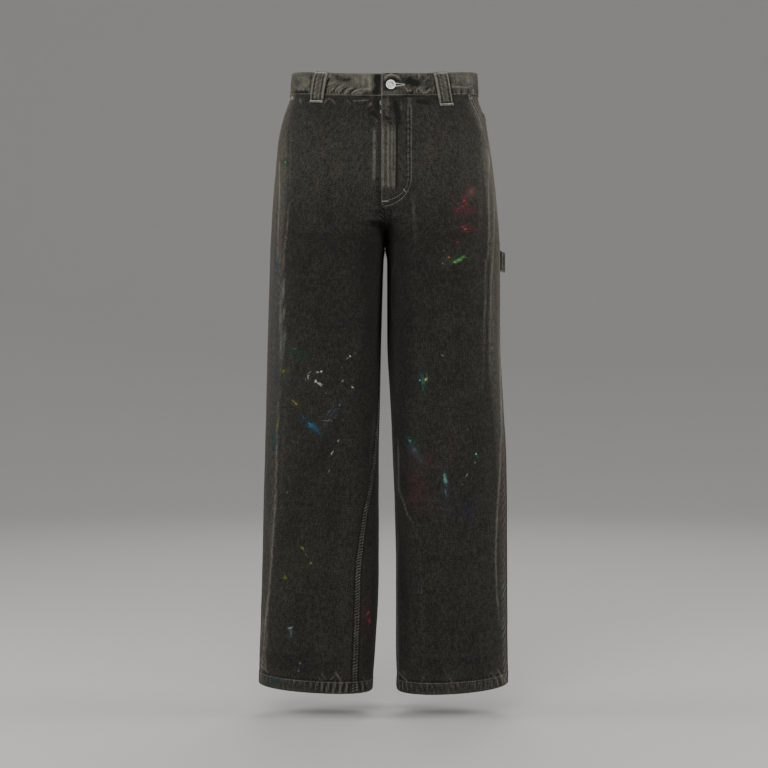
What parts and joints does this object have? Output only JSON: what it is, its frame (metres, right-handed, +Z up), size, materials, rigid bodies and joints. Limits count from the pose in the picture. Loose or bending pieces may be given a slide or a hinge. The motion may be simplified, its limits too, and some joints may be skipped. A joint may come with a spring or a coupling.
{
  "type": "paint spattered carpenter trousers",
  "caption": "Wide-legged washed black denim work trousers with paint spatters, belt loops and a hammer loop, filled out as if worn, with open waist and legs.",
  "frame": {"origin": "middle of the waist opening, half way up the waistband at its sides", "axes": "+Z up, out of the waist; -Y the front; +X the wearer's left"},
  "size_m": [0.4355, 0.2682, 1.0917],
  "materials": {
    "denim": "washed black denim, faded along its seams, matte",
    "denim_rubbed": "the same denim, doubled and rubbed pale, matte",
    "button_metal": "silver-coloured, worn satin",
    "zip_metal": "silver-coloured, dull"
  },
  "bodies": {
    "root": {"back_left": "denim", "back_pocket_left": "denim", "back_pocket_right": "denim", "back_right": "denim", "belt_loop_back_left": "denim_rubbed", "belt_loop_back_middle": "denim_rubbed", "belt_loop_back_right": "denim_rubbed", "belt_loop_front_left": "denim_rubbed", "belt_loop_front_right": "denim_rubbed", "button": "button_metal", "front_left": "denim", "front_right": "denim", "hammer_loop": "denim", "pocket_facing_left": "denim", "pocket_facing_right": "denim", "waistband": "denim_rubbed", "yoke_left": "denim", "yoke_right": "denim", "zip": "zip_metal"}
  },
  "joints": []
}
